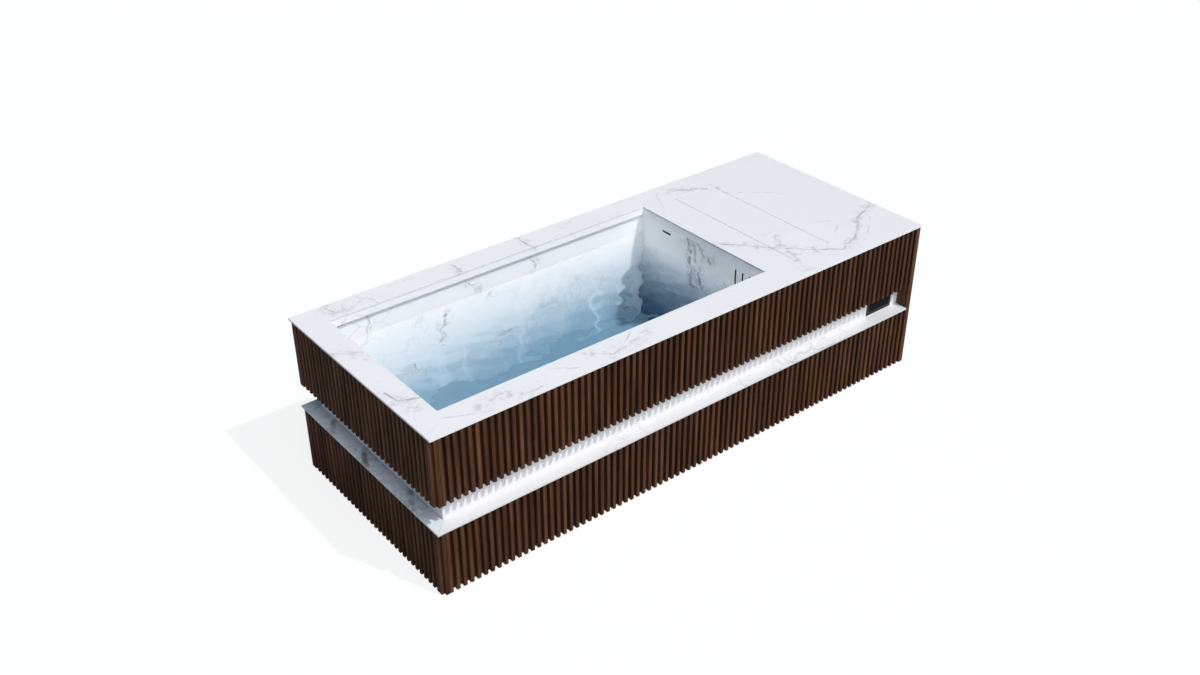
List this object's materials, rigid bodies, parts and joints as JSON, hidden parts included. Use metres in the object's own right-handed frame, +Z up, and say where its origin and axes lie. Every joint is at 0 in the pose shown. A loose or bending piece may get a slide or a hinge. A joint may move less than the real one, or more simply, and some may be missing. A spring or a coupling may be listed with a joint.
{
  "type": "cold plunge tub",
  "caption": "Long cold plunge tub with a thin stone top and stone-lined basin, walnut slat cladding in two tiers, a recessed stone band with a display, and a cooling bay under a deck hatch.",
  "frame": {"origin": "centre of the footprint, on the ground", "axes": "+X along the tub towards the equipment deck, +Y from the front with the display to the back, +Z up"},
  "size_m": [2.5, 1.01, 0.7],
  "materials": {
    "marble": "honed, light with fine grey veins",
    "walnut": "oiled, satin",
    "rubber": "matte",
    "steel": "satin grey",
    "aluminium": "mill",
    "shell": "satin",
    "foam": "matte",
    "black_plastic": "satin",
    "display_glass": "polished",
    "painted_metal": "satin",
    "blue_plastic": "gloss",
    "paper": "pleated",
    "copper": "drawn tube",
    "pipe": "satin"
  },
  "bodies": {
    "tub": {"band_soffit": "walnut", "band_wall_back": "marble", "band_wall_front": "marble", "band_wall_left": "marble", "basin_shell": "shell", "compressor": "painted_metal", "condenser_coil": "aluminium", "control_box": "painted_metal", "display_glass": "display_glass", "display_housing": "black_plastic", "drain_valve": "copper", "equipment_tray": "steel", "fan_motor": "painted_metal", "fan_shroud": "steel", "filter_cartridge": "paper", "filter_housing": "blue_plastic", "filter_pipe": "pipe", "floor_drain": "black_plastic", "floor_panel": "marble", "hatch_frame": "aluminium", "heat_exchanger": "pipe", "hot_gas_line": "copper", "insulation_jacket": "foam", "ledge_back": "marble", "ledge_front": "marble", "ledge_left": "marble", "levelling_foot_1": "rubber", "levelling_foot_2": "rubber", "levelling_foot_3": "rubber", "levelling_foot_4": "rubber", "levelling_foot_5": "rubber", "levelling_foot_6": "rubber", "pump_motor": "painted_metal", "pump_pipe": "pipe", "pump_wet_end": "black_plastic", "return_pipe": "pipe", "return_spout": "black_plastic", "skimmer_body": "black_plastic", "slat_back_lower": "walnut", "slat_back_upper": "walnut", "slat_front_lower": "walnut", "slat_front_upper": "walnut", "slat_left_lower": "walnut", "slat_left_upper": "walnut", "steel_frame": "steel", "suction_line": "copper", "suction_pipe": "pipe", "top_slab": "marble", "wall_panel_back": "marble", "wall_panel_front": "marble", "wall_panel_left": "marble", "wall_panel_right": "marble"},
    "hatch": {"deck_hatch": "marble"},
    "end_panel": {"slat_end_panel": "walnut"},
    "flap": {"weir_flap": "black_plastic"},
    "fan": {"fan_rotor": "black_plastic"},
    "lid": {"filter_lid": "black_plastic"},
    "lever": {"valve_lever": "steel"},
    "grate": {"drain_grate": "steel"}
  },
  "joints": [
    {"name": "hatch_lift", "type": "slide", "parent": "tub", "child": "hatch", "axis": [0, 0, 1], "range_m": [0, 0.3]},
    {"name": "end_panel_pull", "type": "slide", "parent": "tub", "child": "end_panel", "axis": [1, 0, 0], "range_m": [0, 0.3]},
    {"name": "weir_swing", "type": "hinge", "parent": "tub", "child": "flap", "pos_m": [0.4643, -0.235, 0.5063], "axis": [0, 1, 0], "range_deg": [0, 70], "stiffness_Nm_per_rad": 0.03, "springref_deg": -11.46},
    {"name": "fan_spin", "type": "hinge", "parent": "tub", "child": "fan", "pos_m": [1.1263, 0.005, 0.31], "axis": [1, 0, 0], "continuous": true},
    {"name": "filter_lid_turn", "type": "hinge", "parent": "tub", "child": "lid", "pos_m": [0.702, 0.105, 0.468], "axis": [0, 0, 1], "range_deg": [0, 90]},
    {"name": "valve_turn", "type": "hinge", "parent": "tub", "child": "lever", "pos_m": [0.585, 0.007, 0.1023], "axis": [0, 0, 1], "range_deg": [0, 90]},
    {"name": "grate_lift", "type": "slide", "parent": "tub", "child": "grate", "axis": [0, 0, 1], "range_m": [0, 0.1]}
  ]
}
